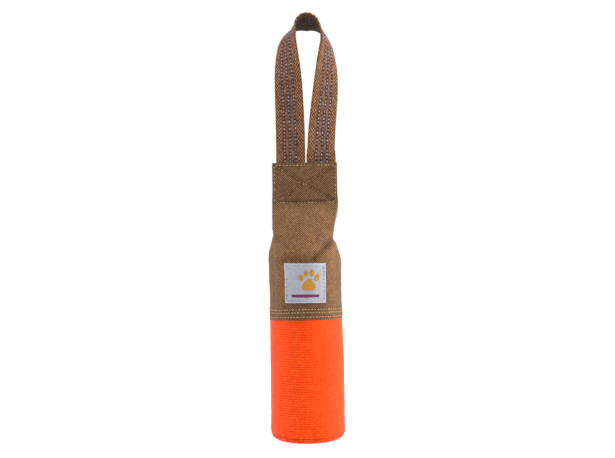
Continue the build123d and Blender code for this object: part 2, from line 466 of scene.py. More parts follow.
def foam():
    """Closed-cell foam, cut skin with small open cells."""
    shade = Shade("foam", 0.85, 0.0, 0.3)
    place = shade.place()
    fine = shade.noise(place, 1.6, 3.0)
    coarse = shade.noise(place, 0.12, 2.0)
    colour = shade.mix(shade.spread(coarse, 0.3, 0.7, 0, 1), rgb(214, 210, 200), rgb(226, 223, 214))
    shade.colour(shade.vary(colour, fine, 0.35, 0.6, 0.86, 1.0))
    shade.bump(fine, 0.2, 0.6)
    return shade.material


def tape(name, dark, light):
    """Woven binding tape over a seam."""
    shade = Shade(name, 0.8, 0.2, 0.3)
    x, y, z = shade.split(shade.place())
    height, _, chance = woven(shade, shade.math("ADD", x, y), z, 0.7)
    colour = shade.mix(chance, rgb(*dark), rgb(*light))
    shade.colour(shade.vary(colour, height, 0.1, 0.9, 0.65, 1.0))
    shade.bump(height, 0.15, 0.6)
    return shade.material


def finish_hidden_parts():
    """The core and the tapes inside keep their shapes from the frame and get finished materials."""
    orange_tape = tape("orange_tape", (214, 70, 26), (236, 92, 40))
    for node, material in (
        ("foam_core", foam()),
        ("yoke_seam_binding", tape("brown_tape", (104, 74, 52), (134, 98, 70))),
        ("orange_seam_binding", orange_tape),
        ("bottom_seam_binding", orange_tape),
    ):
        materials = frame["nodes"][node].data.materials
        materials.clear()
        materials.append(material)


# --- yoke surface: round sleeve, tucked neck and flat tab
TAB_LEAN = 0.55  # the tab sits this far to the right of the barrel's middle
HEM_ROWS = (2.3, 6.0, 8.6)  # stitch rows, above the hem's edge
HEM_TURN = 9.8  # the hem is two layers thick up to here
NECK_EASE = 5.0  # the cloth rounds over the core's shoulder within this
BOX_X, BOX_Z0, BOX_Z1 = 26.3, 203.2, 235.4  # the stitched box
FRONT_CREASES = (  # start, end, depth (below 0 for a ridge), width: where the neck buckles over the foam
    ((23.0, 171.5), (8.0, 155.5), 2.2, 3.0),
    ((7.0, 154.5), (-24.0, 153.5), 0.8, 2.8),
    ((24.0, 176.0), (9.0, 189.0), 0.5, 2.6),
    ((-28.0, 176.0), (-15.0, 166.0), 0.7, 3.0),
    ((13.0, 197.0), (17.0, 178.0), -0.6, 4.5),
)
BACK_CREASES = (
    ((-24.0, 173.0), (-3.0, 157.0), 1.8, 3.4),
    ((25.0, 175.0), (8.0, 163.0), 1.2, 3.2),
    ((-2.0, 157.0), (10.0, 158.5), 0.6, 3.0),
)


FRONT_TURNS, BACK_TURNS = 15, 11  # points round the front fold and round the back fold


def tucked_half():
    """Right half of the flat tab's section, front middle to back middle, as (x, y) and its run."""
    front, back = FRONT_FOLD_R, BACK_FOLD_R
    tuck_x = TAB_HALF - (HALF_GIRTH - 2 * TAB_HALF) / 2
    path = [(0.0, FRONT_Y)]
    for a in np.radians(np.linspace(-90, 90, FRONT_TURNS)):
        path.append((TAB_HALF - front + front * math.cos(a), front * math.sin(a)))
    path += [(tuck_x, front), (tuck_x, front + TUCK_GAP)]
    for a in np.radians(np.linspace(-90, 90, BACK_TURNS)):
        path.append((TAB_HALF - back + back * math.cos(a), BACK_Y - back + back * math.sin(a)))
    path = np.array(path + [(0.0, BACK_Y)])
    run = run_along(path)
    return path, run / run[-1]


TUCK_PATH, TUCK_RUN = tucked_half()
FOLD_AT = TUCK_RUN[1 + FRONT_TURNS // 2]  # share of the half girth where the front fold is
BACK_FOLD_AT = TUCK_RUN[3 + FRONT_TURNS + BACK_TURNS // 2]


def pinch(z, rightness):
    """0 where the yoke is round, 1 where it is flat; the right side tucks in a little lower."""
    start = SHOULDER_Z + 0.5 - 3.0 * rightness
    total = 0
    for shift in np.linspace(-NECK_EASE, NECK_EASE, 9):
        total = total + np.clip((z + shift - start) / (TAB_Z - start), 0, 1)
    return np.where(z > TAB_Z + 1.0, 1.0, total / 9)


LEFT_SWELL = ((170, 13, 1.6), (152, 9, 0.6), (190, 14, 0.9))  # height, spread, how far the side stands out
RIGHT_SWELL = ((200, 8, 0.6), (178, 10, -1.9))


def swell(z, bumps):
    return sum(out * bell(z - height, spread) for height, spread, out in bumps)


def yoke_base(around, z):
    """Undisturbed outer face of the yoke. around runs from 0 at the back by left, front and right to 1."""
    side = np.where(around >= 0.5, 1.0, -1.0)
    half = np.abs(around - 0.5) * 2
    angle = np.pi * half
    t = pinch(z, side * np.sin(angle))
    x = (1 - t) * SLEEVE_R * np.sin(angle) + t * np.interp(half, TUCK_RUN, TUCK_PATH[:, 0])
    y = (t - 1) * SLEEVE_R * np.cos(angle) + t * np.interp(half, TUCK_RUN, TUCK_PATH[:, 1])
    fold = bell(half - FOLD_AT, 0.16) + bell(half - BACK_FOLD_AT, 0.16)
    fold = fold * smooth(half / 0.1) * smooth((1 - half) / 0.1)
    swollen = np.where(side < 0, swell(z, LEFT_SWELL), swell(z, RIGHT_SWELL)) * fold
    lean = TAB_LEAN * smooth((z - SHOULDER_Z) / (TAB_Z - SHOULDER_Z))
    return np.stack([side * (x + swollen) + lean, y, z], -1)


FULLNESS = 2.3  # the empty neck stands out by this
CREASE_LIP = 0.22  # beside a crease the cloth stands up by this share of the crease's depth
UNEVEN_WIDE, UNEVEN_FINE, UNEVEN_NECK = 0.35, 0.12, 0.5
HEM_LIFT = 0.3
ROW_DEPTH, ROW_WIDTH = 0.28, 0.75  # the hem's stitch rows sink in
DEEPEST = -0.3  # the sleeve's unevenness stops here, above the orange cover


def yoke_lift(points, half):
    """How far the cloth stands off its base: fullness, creases, hem, puckers round the stitching."""
    x, y, z = np.moveaxis(points, -1, 0)
    neck = np.clip((z - SHOULDER_Z + 4) / (TAB_Z - SHOULDER_Z + 2), 0, 1)
    outside = smooth((np.abs(half - 0.5) - 0.2) / 0.06)  # 0 inside the side tuck
    lift = FULLNESS * np.sin(np.pi * neck) ** 1.5 * outside
    free = smooth((z - SHOULDER_Z) / 7)  # 0 over the foam, where the cloth can't buckle inwards
    for creases, where in ((FRONT_CREASES, smooth(-y / 3)), (BACK_CREASES, smooth(y / 3))):
        for start, end, depth, width in creases:
            away = from_line(x, z, start, end)
            lift = lift - where * free * depth * bell(away, width)
            lift = lift + where * CREASE_LIP * depth * bell(away - 1.9 * width, width)
    on_sleeve = 1 - smooth((z - SHOULDER_Z + 8) / 10)
    uneven = UNEVEN_WIDE * ripple(points, 34, 3) + UNEVEN_FINE * ripple(points, 9, 4)
    lift = lift + on_sleeve * np.maximum(uneven, DEEPEST)
    on_neck = (1 - on_sleeve) * (1 - smooth((z - TAB_Z + 6) / 6)) * outside
    lift = lift + on_neck * UNEVEN_NECK * ripple(points, 21, 5)
    lift = lift + HEM_LIFT * (1 - smooth((z - HEM_Z - HEM_TURN) / 1.2))
    for row in HEM_ROWS:
        lift = lift - ROW_DEPTH * bell(z - HEM_Z - row, ROW_WIDTH)
    on_tab = smooth((z - BOX_Z0 + 3) / 3) * outside
    return lift + on_tab * tab_pucker(x, z)


def box_lines():
    low, high = BOX_Z0, BOX_Z1
    left, right = -BOX_X, BOX_X
    sides = [((left, low), (right, low)), ((right, low), (right, high))]
    sides += [((right, high), (left, high)), ((left, high), (left, low))]
    cross = [((left, low), (right, high)), ((left, high), (right, low))]
    return sides, cross


def tab_pucker(x, z):
    """The box stitching sinks into the tab and the cloth between it stands up a little."""
    sides, cross = box_lines()
    pressed = ((-BOX_X + 6, BOX_Z0), (BOX_X - 9, BOX_Z0))  # the neck's cloth pulls down on this stretch
    deep = np.zeros_like(x)
    for lines, depth, width in ((sides, 0.42, 1.0), (cross, 0.8, 1.6), ([pressed], 0.95, 1.5)):
        for start, end in lines:
            deep = np.maximum(deep, depth * bell(from_line(x, z, start, end), width))
    return 0.35 + 0.2 * np.sin(x / 5.2 + 1) * np.sin(z / 6.1) - deep


HEM_FRONT, HEM_LEFT, HEM_RIGHT = 1.1, 1.2, 0.4  # higher in front, lower at the sides


def hem_dip(points):
    """How far each point moves up, as the hem isn't level."""
    x, y, z = np.moveaxis(points, -1, 0)
    fade = 1 - smooth((z - HEM_Z - 4) / 30)
    sides = HEM_LEFT * smooth(-x / SLEEVE_R) + HEM_RIGHT * smooth(x / SLEEVE_R)
    return fade * (HEM_FRONT * smooth(-y / SLEEVE_R) - sides)


def yoke_surface(around, z, closed=False):
    """Outer face of the yoke's cloth and its normals, for a grid of places on it."""
    base = yoke_base(around, z)
    lift = yoke_lift(base, np.abs(around - 0.5) * 2)
    points = base + grid_normals(base, closed) * lift[..., None]
    points[..., 2] += hem_dip(base)
    return points, grid_normals(points, closed)


def yoke_columns():
    """Places round the yoke, closer together at the folds."""
    spots = [FOLD_AT, 0.5, BACK_FOLD_AT]
    half = np.linspace(0, 1, 90)
    near = [np.linspace(s - 0.035, s + 0.035, 23) for s in spots]
    half = np.unique(np.round(np.concatenate([half, *near]), 5))
    keep = np.r_[True, np.diff(half) > 0.002]
    half = half[keep]
    half[-1] = 1.0
    return np.r_[0.5 - half[::-1] / 2, 0.5 + half[1:-1] / 2]


def yoke_rows():
    lower = np.arange(HEM_Z, HEM_Z + 13, 0.55)
    middle = np.arange(lower[-1] + 1.0, TAB_Z - 1, 1.0)
    upper = np.linspace(TAB_Z, TAB_TOP, 62)
    return np.r_[lower, middle, upper]


def tube_shell(outer, normals, thickness, bottomless=True):
    """Points and faces of a tube of cloth with a real thickness. Its top is closed only between the two
    faces of the cloth, and so is its bottom, unless the cloth goes right across there."""
    rows, columns = outer.shape[:2]
    count = rows * columns
    inner = outer - normals * thickness
    faces = grid_faces(rows, columns, True) + grid_faces(rows, columns, True, count, True)
    top = count - columns
    for c in range(columns):
        d = (c + 1) % columns
        if bottomless:
            faces.append((count + c, count + d, d, c))
        faces.append((top + c, top + d, count + top + d, count + top + c))
    if not bottomless:
        faces.append(tuple(range(columns))[::-1])
        faces.append(tuple(range(count, count + columns)))
    return np.concatenate([outer.reshape(-1, 3), inner.reshape(-1, 3)]), faces


def patch_shell(outer, inner):
    """Points and faces of a patch of cloth between two grids of points, closed round its rim."""
    rows, columns = outer.shape[:2]
    count = rows * columns
    border = [r * columns for r in range(rows)] + list(range(count - columns + 1, count))
    border += [r * columns + columns - 1 for r in range(rows - 2, -1, -1)]
    border += list(range(columns - 2, 0, -1))
    faces = grid_faces(rows, columns) + grid_faces(rows, columns, start=count, flip=True)
    faces += [(a, count + a, count + b, b)[::-1] for a, b in zip(border, border[1:] + border[:1])]
    return np.concatenate([outer.reshape(-1, 3), inner.reshape(-1, 3)]), faces


def both_faces(values):
    """The same values for the outer and the inner face of a shell."""
    flat = values.reshape(-1, values.shape[-1]) if values.ndim == 3 else values.ravel()
    return np.concatenate([flat, flat])


def along_rows(points):
    """Length of cloth up the middle one of a grid's columns, as one number per row."""
    step = np.median(np.linalg.norm(np.diff(points, axis=0), axis=2), axis=1)
    return np.r_[0, np.cumsum(step)]


# painted shade on the tab and a painted shadow under its lower edge; the neck is darker from the shoulder up
NECK_DARKER, TAB_SHADE, UNDER_TAB_SHADOW = 0.13, 0.22, 0.3
SIDE_GROOVE_SHADE, CROSS_GROOVE_SHADE = 0.12, 0.22  # painted shade in the grooves along the box's stitches and the cross's
EDGE_LIGHTER, FOLD_LIGHTER = 0.10, 0.12  # at the hem's edge and along the tab's folds
FRONT_SHADE, FRONT_SHADE_HEM = 0.28, 0.16  # painted shade: the sleeve's front is darker, and more so near the hem
CREASE_SHADE = 0.17  # painted shade per millimetre of the crease's depth, and painted highlight where the depth is below 0
TUCK_TONE = 0.8  # the cloth folded in at the tab's sides


def yoke_tone(points, half):
    """Light and dark painted into the cloth: painted shade on the tab, under it, in the creases, along the
    sewn lines and over the sleeve's front; painted highlight along the neck's ridge.
    """
    x, y, z = np.moveaxis(points, -1, 0)
    tone = 1.04 - NECK_DARKER * smooth((z - SHOULDER_Z) / 12) - TAB_SHADE * smooth((z - BOX_Z0 + 1) / 2)
    # painted shade over the sleeve's front, which the side lights reach less
    front_shade = FRONT_SHADE * smooth((SHOULDER_Z + 8 - z) / 12) + FRONT_SHADE_HEM * smooth((HEM_Z + 26 - z) / 12)
    tone = tone - front_shade * smooth(-y / SLEEVE_R * 1.6 - 0.6)
    tab_shadow = bell(z - BOX_Z0 - 0.3, 1.3) * smooth((BOX_X - 2 - np.abs(x)) / 12)
    tone = tone - UNDER_TAB_SHADOW * tab_shadow
    # painted shade in the grooves where the box stitching sinks into the tab
    sides, cross = box_lines()
    for lines, darker, width in ((sides, SIDE_GROOVE_SHADE, 0.7), (cross, CROSS_GROOVE_SHADE, 0.9)):
        for start, end in lines:
            tone = tone - darker * bell(from_line(x - TAB_LEAN, z, start, end), width)
    hem_edge = bell(z - HEM_Z - 0.4, 0.5)
    side_fold = bell(half - FOLD_AT, 0.012) * smooth((z - 185) / 15)
    tone = tone + EDGE_LIGHTER * hem_edge + FOLD_LIGHTER * side_fold
    # painted shade in the creases and painted highlight along the ridge
    for creases, where in ((FRONT_CREASES, y < 0), (BACK_CREASES, y > 0)):
        for start, end, depth, width in creases:
            tone = tone - where * CREASE_SHADE * depth * bell(from_line(x, z, start, end), 0.8 * width)
    return np.where(np.abs(half - 0.5) < 0.19, TUCK_TONE, tone)


GRAIN = 0.055  # the cloth was cut this much off its grain


def make_yoke():
    around, z = np.meshgrid(yoke_columns(), yoke_rows())
    outer, normals = yoke_surface(around, z, closed=True)
    points, faces = tube_shell(outer, normals, CLOTH)
    girth = 2 * HALF_GIRTH
    v = np.broadcast_to(along_rows(outer)[:, None], z.shape)
    askew = GRAIN * girth / (2 * math.pi) * np.sin(2 * math.pi * (around - 0.5))
    uv = both_faces(np.stack([around * girth - GRAIN * v, v + askew], -1))
    tone = both_faces(yoke_tone(outer, np.abs(around - 0.5) * 2))
    yoke = new_mesh("yoke", points, faces, uv, brown_cloth(), tone, girth)
    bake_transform(yoke)
    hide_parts("yoke_sleeve", "yoke_neck", "tab_front_panel", "tab_back_panel")
    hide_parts("tab_left_tuck", "tab_right_tuck")


# --- orange cover
SEAM_Z = 4.4
BOTTOM_ROUND = 11.0  # the barrel rounds in below this
RIM_WIDE, RIM_HIGH = 4.6, 3.3  # the bottom disc's rim is part of an ellipse
COVER_T = 0.5
RIGHT_FULLNESS = 1.5  # the cover stands out this much further at the bottom right
GATHERS = 0.15
COVER_ANGLES = np.linspace(-math.pi, math.pi, 240, endpoint=False)


def cover_radius(angle, z):
    """Radius of the orange side panel, fuller towards the bottom, pulled in by the bottom seam."""
    level = 1 - z / COVER_TOP
    radius = COVER_R + 0.1 + 0.4 * level - 0.5 * smooth((z - HEM_Z + 1.5) / 3)
    radius = radius - 0.5 * smooth((BOTTOM_ROUND - z) / BOTTOM_ROUND) - 0.35 * bell(z - SEAM_Z, 1.3)
    return radius - 0.25 * bell((angle - math.pi) * COVER_R, 1.4) * smooth((HEM_Z - z) / 8)


def right_fullness(angle, z):
    """The cover is a little fuller on its right, more so towards the bottom."""
    return RIGHT_FULLNESS * smooth(np.sin(angle)) * smooth((HEM_Z + 10 - z) / 60)


def cover_points(angle, z):
    """Points of the orange side panel, with its unevenness and the gathers above the bottom seam."""
    radius = cover_radius(np.abs(angle), z) + right_fullness(angle, z)
    points = round_points(radius, angle, z)
    uneven = 0.25 * ripple(points, 38, 11) + 0.08 * ripple(points, 11, 12)
    uneven = uneven * smooth((HEM_Z + 4 - z) / 12) * smooth((z + 4) / 14)
    gathers = GATHERS * bell(z - SEAM_Z - 3, 9) * np.sin(angle * 23 + 2 * np.sin(angle * 3 + 1))
    return round_points(radius + uneven + gathers, angle, z)


def make_orange_side():
    rows = np.r_[np.arange(SEAM_Z - 0.4, 12, 0.4), np.arange(12.3, COVER_TOP, 1.2)]
    angle, z = np.meshgrid(COVER_ANGLES, rows)
    outer = cover_points(angle, z)
    points, faces = tube_shell(outer, grid_normals(outer, True), COVER_T)
    uv = both_faces(np.stack([(angle + math.pi) * COVER_R, z], -1))
    # painted shade in the groove of the bottom seam
    tone = both_faces(1 - 0.15 * bell(z - SEAM_Z, 0.9))
    side = new_mesh("orange_side", points, faces, uv, orange_cloth(), tone, 2 * math.pi * COVER_R)
    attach(side, "barrel")
    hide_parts("orange_side_panel")


def disc_profile():
    """Radius and height of the bottom disc, from its middle, round the rim and up to the seam."""
    rim = COVER_R - 0.5
    flat = [(r, 0.0) for r in np.linspace(0.5, rim - 6, 22)]
    turns = np.radians(np.linspace(-90, 40, 14))
    curve = [(rim + RIM_WIDE * (math.cos(a) - 1), RIM_HIGH * (math.sin(a) + 1)) for a in turns]
    return np.array(flat + curve + [(rim - 2.2, SEAM_Z + 0.8)])


def make_orange_bottom():
    profile = disc_profile()
    angle, row = np.meshgrid(COVER_ANGLES, np.arange(len(profile)))
    radius, z = profile[row, 0], profile[row, 1]
    wobble = 0.3 * ripple(round_points(radius, angle, z), 30, 21)
    wobble = wobble + 0.08 * np.sin(angle * 31 + 3 * np.sin(angle * 2))
    radius = radius + wobble * smooth(z / 1.5) + right_fullness(angle, 0) * radius / COVER_R
    outer = round_points(radius, angle, z)
    points, faces = tube_shell(outer, grid_normals(outer, True), COVER_T, bottomless=False)
    disc = new_mesh("orange_bottom", points, faces, both_faces(outer[..., :2] + 40), orange_cloth())
    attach(disc, "barrel")
    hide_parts("orange_bottom_disc")


# --- stitching
THREAD_R = 0.4
STITCH_STEPS, STITCH_RING = 7, 8  # points along a stitch and round it


def stitches(name, lines, pitch, length, material, seed, radius=THREAD_R, tones=None):
    """Rows of separate stitches. Each line is (points, normals, closed) on the cloth, in millimetres;
    every stitch arches out of the cloth and its two ends dip back into it. tones is one shade per line."""
    rng = np.random.RandomState(seed)
    share = np.linspace(-1, 1, STITCH_STEPS)
    arch = np.sin(np.linspace(0, math.pi, STITCH_STEPS))
    rise, thick = radius * (1.25 * arch - 0.55), radius * (0.7 + 0.3 * arch)
    ring = spokes(STITCH_RING)[:, None]
    points, faces, uv, tone = [], [], [], []
    for (line, normals, closed), shade in zip(lines, tones or [1.0] * len(lines)):
        if closed:
            line, normals = np.vstack([line, line[:1]]), np.vstack([normals, normals[:1]])
        run = run_along(line)
        count = max(1, round(run[-1] / pitch))
        for k in range(count):
            middle = (k + 0.5) * run[-1] / count + rng.uniform(-0.08, 0.08)
            at = np.clip(middle + length / 2 * share, 0, run[-1])
            skew = rng.uniform(-0.12, 0.12) * share
            centre = read_off(line, run, at)
            out = unit(read_off(normals, run, at))
            aside = np.cross(unit(np.gradient(centre, axis=0)), out)
            centre = centre + out * rise[:, None] + aside * skew[:, None]
            way = aside[:, None] * np.cos(ring) + out[:, None] * np.sin(ring) * 0.85
            base = len(tone)
            points.append((centre[:, None] + way * thick[:, None, None]).reshape(-1, 3))
            places = np.meshgrid(at, 0.3 * np.arange(STITCH_RING), indexing="ij")
            uv.append(np.stack(places, -1).reshape(-1, 2))
            tone += [shade] * len(points[-1])
            faces += grid_faces(STITCH_STEPS, STITCH_RING, True, base, True)
            faces.append(tuple(range(base, base + STITCH_RING)))
            faces.append(tuple(range(len(tone) - STITCH_RING, len(tone)))[::-1])
    return new_mesh(name, np.vstack(points), faces, np.vstack(uv), material, tone)


def round_line(height):
    """A line round the hem at that height above its edge, on the yoke's cloth."""
    around, z = np.meshgrid(yoke_columns(), HEM_Z + height + np.array([-0.4, 0, 0.4]))
    points, normals = yoke_surface(around, z, closed=True)
    return points[1], normals[1], True


def make_hem_stitches():
    for row, height, pitch in zip(("lower", "middle", "upper"), HEM_ROWS, (2.75, 2.6, 2.7)):
        lines = [round_line(height)]
        seed = 31 + len(row)
        obj = stitches(f"hem_stitches_{row}", lines, pitch, 1.9, thread("tan_thread"), seed, 0.34)
        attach(obj, "barrel")
        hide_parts(f"hem_thread_{row}")


def on_tab(start, end, front):
    """A straight line of cloth across the tab, as points and outward normals."""
    t = np.linspace(0.006, 0.994, 70)
    x = start[0] + (end[0] - start[0]) * t
    z = start[1] + (end[1] - start[1]) * t
    y = FRONT_Y - tab_pucker(x, z) if front else BACK_Y + tab_pucker(x, z)
    normals = np.tile([0.0, -1.0 if front else 1.0, 0.0], (len(t), 1))
    return np.stack([x + TAB_LEAN, y, z], -1), normals, False


BOX_STITCH_SHADE = (1.0, 1.0, 1.0, 1.0, 0.72, 0.72)  # painted shade: the cross lies deep in the cloth and its thread is painted darker


def make_box_stitches():
    sides, cross = box_lines()
    for front, name, node in (
        (True, "box_stitches_front", "box_needle_thread"),
        (False, "box_stitches_back", "box_bobbin_thread"),
    ):
        lines = [on_tab(a, b, front) for a, b in sides + cross]
        obj = stitches(name, lines, 3.1, 2.3, thread("box_thread"), 41 + front, tones=BOX_STITCH_SHADE)
        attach(obj, "tab")
        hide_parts(node)


# --- label
LABEL_Z = (LABEL_LOW[2] + LABEL_HIGH[2]) / 2 - 0.5
LABEL_HALF_H = (LABEL_HIGH[2] - LABEL_LOW[2]) / 2 + 0.4
LABEL_HALF_W = SLEEVE_R * math.asin(LABEL_HIGH[0] / SLEEVE_R) - 0.1
LABEL_T = 0.45
LABEL_TILT = math.radians(-0.7)
LABEL_SEAM = 1.9  # from the label's edge to its stitching


def label_surface(x, z, lift):
    """Points at x, z of cloth from the label's middle, lifted off the yoke, with their normals."""
    turned_x = x * math.cos(LABEL_TILT) - z * math.sin(LABEL_TILT)
    turned_z = x * math.sin(LABEL_TILT) + z * math.cos(LABEL_TILT)
    around = 0.5 + turned_x / (2 * HALF_GIRTH)
    points, normals = yoke_surface(around, LABEL_Z + turned_z)
    return points + normals * np.asarray(lift)[..., None], normals


def make_label():
    xs = np.linspace(-LABEL_HALF_W, LABEL_HALF_W, 60)
    zs = np.linspace(-LABEL_HALF_H, LABEL_HALF_H, 56)
    x, z = np.meshgrid(xs, zs)
    edge = np.minimum(LABEL_HALF_W - np.abs(x), LABEL_HALF_H - np.abs(z))
    lift = LABEL_T - 0.16 * bell(edge - LABEL_SEAM, 0.6) + 0.10 * np.sin(x / 4.1 + 2) * np.sin(z / 5.3)
    lift = lift * smooth(0.35 + edge / 0.5)
    outer, normals = label_surface(x, z, lift)
    points, faces = patch_shell(outer, outer - normals * (lift + 0.15)[..., None])
    uv = both_faces(np.stack([x + 50, z + 50], -1))
    tone = both_faces(1 + 0.3 * (edge < 0.9))
    label = new_mesh("label", points, faces, uv, satin("label_cloth"), tone)
    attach(label, "barrel")
    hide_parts("label_patch")


def make_label_stitches():
    w, h = LABEL_HALF_W - LABEL_SEAM, LABEL_HALF_H - LABEL_SEAM
    ends = [(-w, -h), (w, -h), (w, h), (-w, h), (-w, -h)]
    t = np.linspace(0.01, 0.99, 50)
    beside = 0.01 * np.array([[-1], [0], [1]])  # a row on each side of the line gives its normals
    lines = []
    for (x0, z0), (x1, z1) in zip(ends, ends[1:]):
        x = x0 + (x1 - x0) * t + beside * (z1 - z0)
        z = z0 + (z1 - z0) * t - beside * (x1 - x0)
        points, inward = label_surface(x, z, np.full(x.shape, 0.12 - LABEL_T))
        lines.append((points[1], -inward[1], False))
    obj = stitches("label_stitches", lines, 3.2, 1.9, thread("label_thread"), 51, 0.32)
    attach(obj, "barrel")
    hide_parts("label_thread")


def raised_shape(outline, middle_x, middle_z, turn, height, count=48):
    """A filled, slightly domed shape on the label. outline gives a radius for an angle."""
    angles = spokes(count)
    share = np.linspace(0.04, 1, 9)
    angle, s = np.meshgrid(angles, share)
    reach = outline(angles)[None, :] * s
    flat_x, flat_z = reach * np.cos(angle), reach * np.sin(angle)
    x = middle_x + flat_x * math.cos(turn) - flat_z * math.sin(turn)
    z = middle_z + flat_x * math.sin(turn) + flat_z * math.cos(turn)
    around = 0.5 + x / (2 * HALF_GIRTH)
    base = yoke_base(around, LABEL_Z + z)
    out = unit(base * [1, 1, 0])
    lift = LABEL_T + height * np.sqrt(np.clip(1 - s**6, 0, 1)) - 0.05
    lift = lift + yoke_lift(base, np.abs(around - 0.5) * 2)
    points = base + out * lift[..., None]
    faces = grid_faces(len(share), count, True, flip=True)
    faces.append(tuple(range(count)))
    return points.reshape(-1, 3), faces, np.stack([x + 50, z + 50], -1).reshape(-1, 2)


def join_shapes(name, shapes, material):
    points, faces, uv = [], [], []
    for shape_points, shape_faces, shape_uv in shapes:
        base = len(points)
        points += list(shape_points)
        uv += list(shape_uv)
        faces += [tuple(base + i for i in face) for face in shape_faces]
    obj = new_mesh(name, points, faces, uv, material)
    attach(obj, "barrel")
    return obj


PAW_X, PAW_Z = 3.0, 2.2  # middle of the paw from the label's middle
PAW_TOES = ((-6.6, 2.6, 20), (-2.4, 6.6, 6), (2.6, 6.6, -6), (6.8, 2.6, -20))


def toe_outline(angle):
    long, wide = 3.1, 2.15
    return long * wide / np.hypot(wide * np.sin(angle), long * np.cos(angle))


def pad_outline(angle):
    return 5.3 + 0.75 * np.cos(3 * (angle - math.radians(90))) + 0.35 * np.cos(2 * angle)


def make_paw():
    shapes = [raised_shape(pad_outline, PAW_X, PAW_Z - 3.6, 0, 0.32)]
    for x, z, lean in PAW_TOES:
        shapes.append(raised_shape(toe_outline, PAW_X + x, PAW_Z + z, math.radians(lean), 0.3))
    paw = join_shapes("label_paw", shapes, satin("ochre_thread"))
    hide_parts("label_paw_motif")


BAR_HALF, BAR_THICK, BAR_Z = 13.2, 1.3, -10.3


def bar_outline(angle):
    """A long bar with round ends."""
    x, z = np.abs(np.cos(angle)), np.abs(np.sin(angle))
    reach = BAR_HALF - BAR_THICK
    by_side = BAR_THICK / np.maximum(z, 1e-6)
    by_end = reach * x + np.sqrt(np.maximum(BAR_THICK**2 - (reach * z) ** 2, 0))
    return np.where(by_side * x <= reach, by_side, by_end)


def make_bar():
    shape = raised_shape(bar_outline, 0.0, BAR_Z, 0, 0.25, count=240)
    bar = join_shapes("label_bar", [shape], satin("plum_thread"))
    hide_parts("label_stripe")


# --- back seam of the yoke
LAP_HALF = LAP_HIGH[0]
LAP_ROW = LAP_HALF - 1.2  # each row of stitches, from the middle
LAP_TOP = BOX_Z0 - 1.5
LAP_LIFT, LAP_T = 0.55, 0.65


def back_strip(columns, low, high):
    """Points and normals of a strip up the yoke's back seam. columns run from right to left across it."""
    offset, z = np.meshgrid(columns, np.arange(low, high, 0.9))
    around = np.mod(1 + offset / (2 * HALF_GIRTH), 1)
    return *yoke_surface(around, z), offset


def make_back_lap():
    low = LAP_LOW[2]
    cloth, normals, offset = back_strip(np.linspace(-LAP_HALF, LAP_HALF, 23), low, LAP_TOP)
    edge = smooth((LAP_HALF - np.abs(offset)) / 0.5)
    dip = 0.22 * bell(np.abs(offset) - LAP_ROW, 0.6)
    outer = cloth + normals * (LAP_LIFT * edge - dip)[..., None]
    points, faces = patch_shell(outer, outer - normals * LAP_T)
    v = np.broadcast_to(along_rows(outer)[:, None] + low, offset.shape)
    uv = both_faces(np.stack([offset + 300.3, v], -1))
    # painted shade in the grooves of the two stitch rows
    tone = both_faces(1.06 - 0.18 * bell(np.abs(offset) - LAP_ROW, 0.7))
    lap = new_mesh("yoke_back_seam", points, faces, uv, brown_cloth(), tone)
    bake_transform(lap)
    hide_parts("yoke_back_lap")


def make_back_lap_stitches():
    lines = []
    for middle in (-LAP_ROW, LAP_ROW):
        columns = middle + np.array([-0.4, 0, 0.4])
        points, normals, _ = back_strip(columns, LAP_LOW[2] + 1, LAP_TOP - 1)
        lines.append((points[:, 1] + normals[:, 1] * 0.33, normals[:, 1], False))
    obj = stitches("yoke_back_seam_stitches", lines, 3.0, 2.2, thread("tan_thread"), 61)
    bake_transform(obj)
    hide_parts("yoke_back_lap_threads")


def make_bottom_stitches():
    """The seam between side and bottom shows a dark thread here and there, down in its groove."""
    angles = np.linspace(-math.pi, math.pi, 400, endpoint=False)
    angle, z = np.meshgrid(angles, SEAM_Z + 0.1 + np.array([-0.4, 0, 0.4]))
    points = cover_points(angle, z)
    lines = [(points[1], grid_normals(points, True)[1], True)]
    obj = stitches("bottom_seam_stitches", lines, 4.6, 3.0, thread("red_thread"), 71, 0.28)
    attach(obj, "barrel")


# --- webbing handle
LEG_X = WEB_HALF + 0.5  # middle of each leg at the tab, from the middle between them
LEG_SHIFT = 1.85  # the two legs are sewn in this far to the right of the tab's middle
LOOP_SHIFT, SHIFT_HEIGHT = 2.0, 75.0  # and the loop leans this much further to the right
ARCH_HALF, ARCH_HEIGHT = 17.4, 24.0  # the arch is half an ellipse
LOOP_TOP = LOOP_HIGH_Z - 4.4  # middle of the webbing at the top; its front edge stands higher
LEAN_BACK, LEAN_HEIGHT = 5.0, 46.0  # the arch sits behind the legs
ARCH_DROP = math.radians(23.0)  # the arch's back edge dips by this
TWIST_LENGTH, TWIST_POWER = 39.1, 2.0  # from edge on at the top to face on in the legs
SHOULDER_TWIST, SHOULDER_RUN = math.radians(-14.0), 13.0  # the arch's front edge is narrower than its back
LEG_TURN = math.radians(5.0)  # the legs aren't quite face on
RIGHT_LEG_TURN = math.radians(8.0)  # and the right leg is turned further, the left less, by this
FLAT_HEIGHT = 10.0  # the tab holds the webbing flat at the bottom of each leg
WEB_STEP = 0.62  # from one row of points to the next


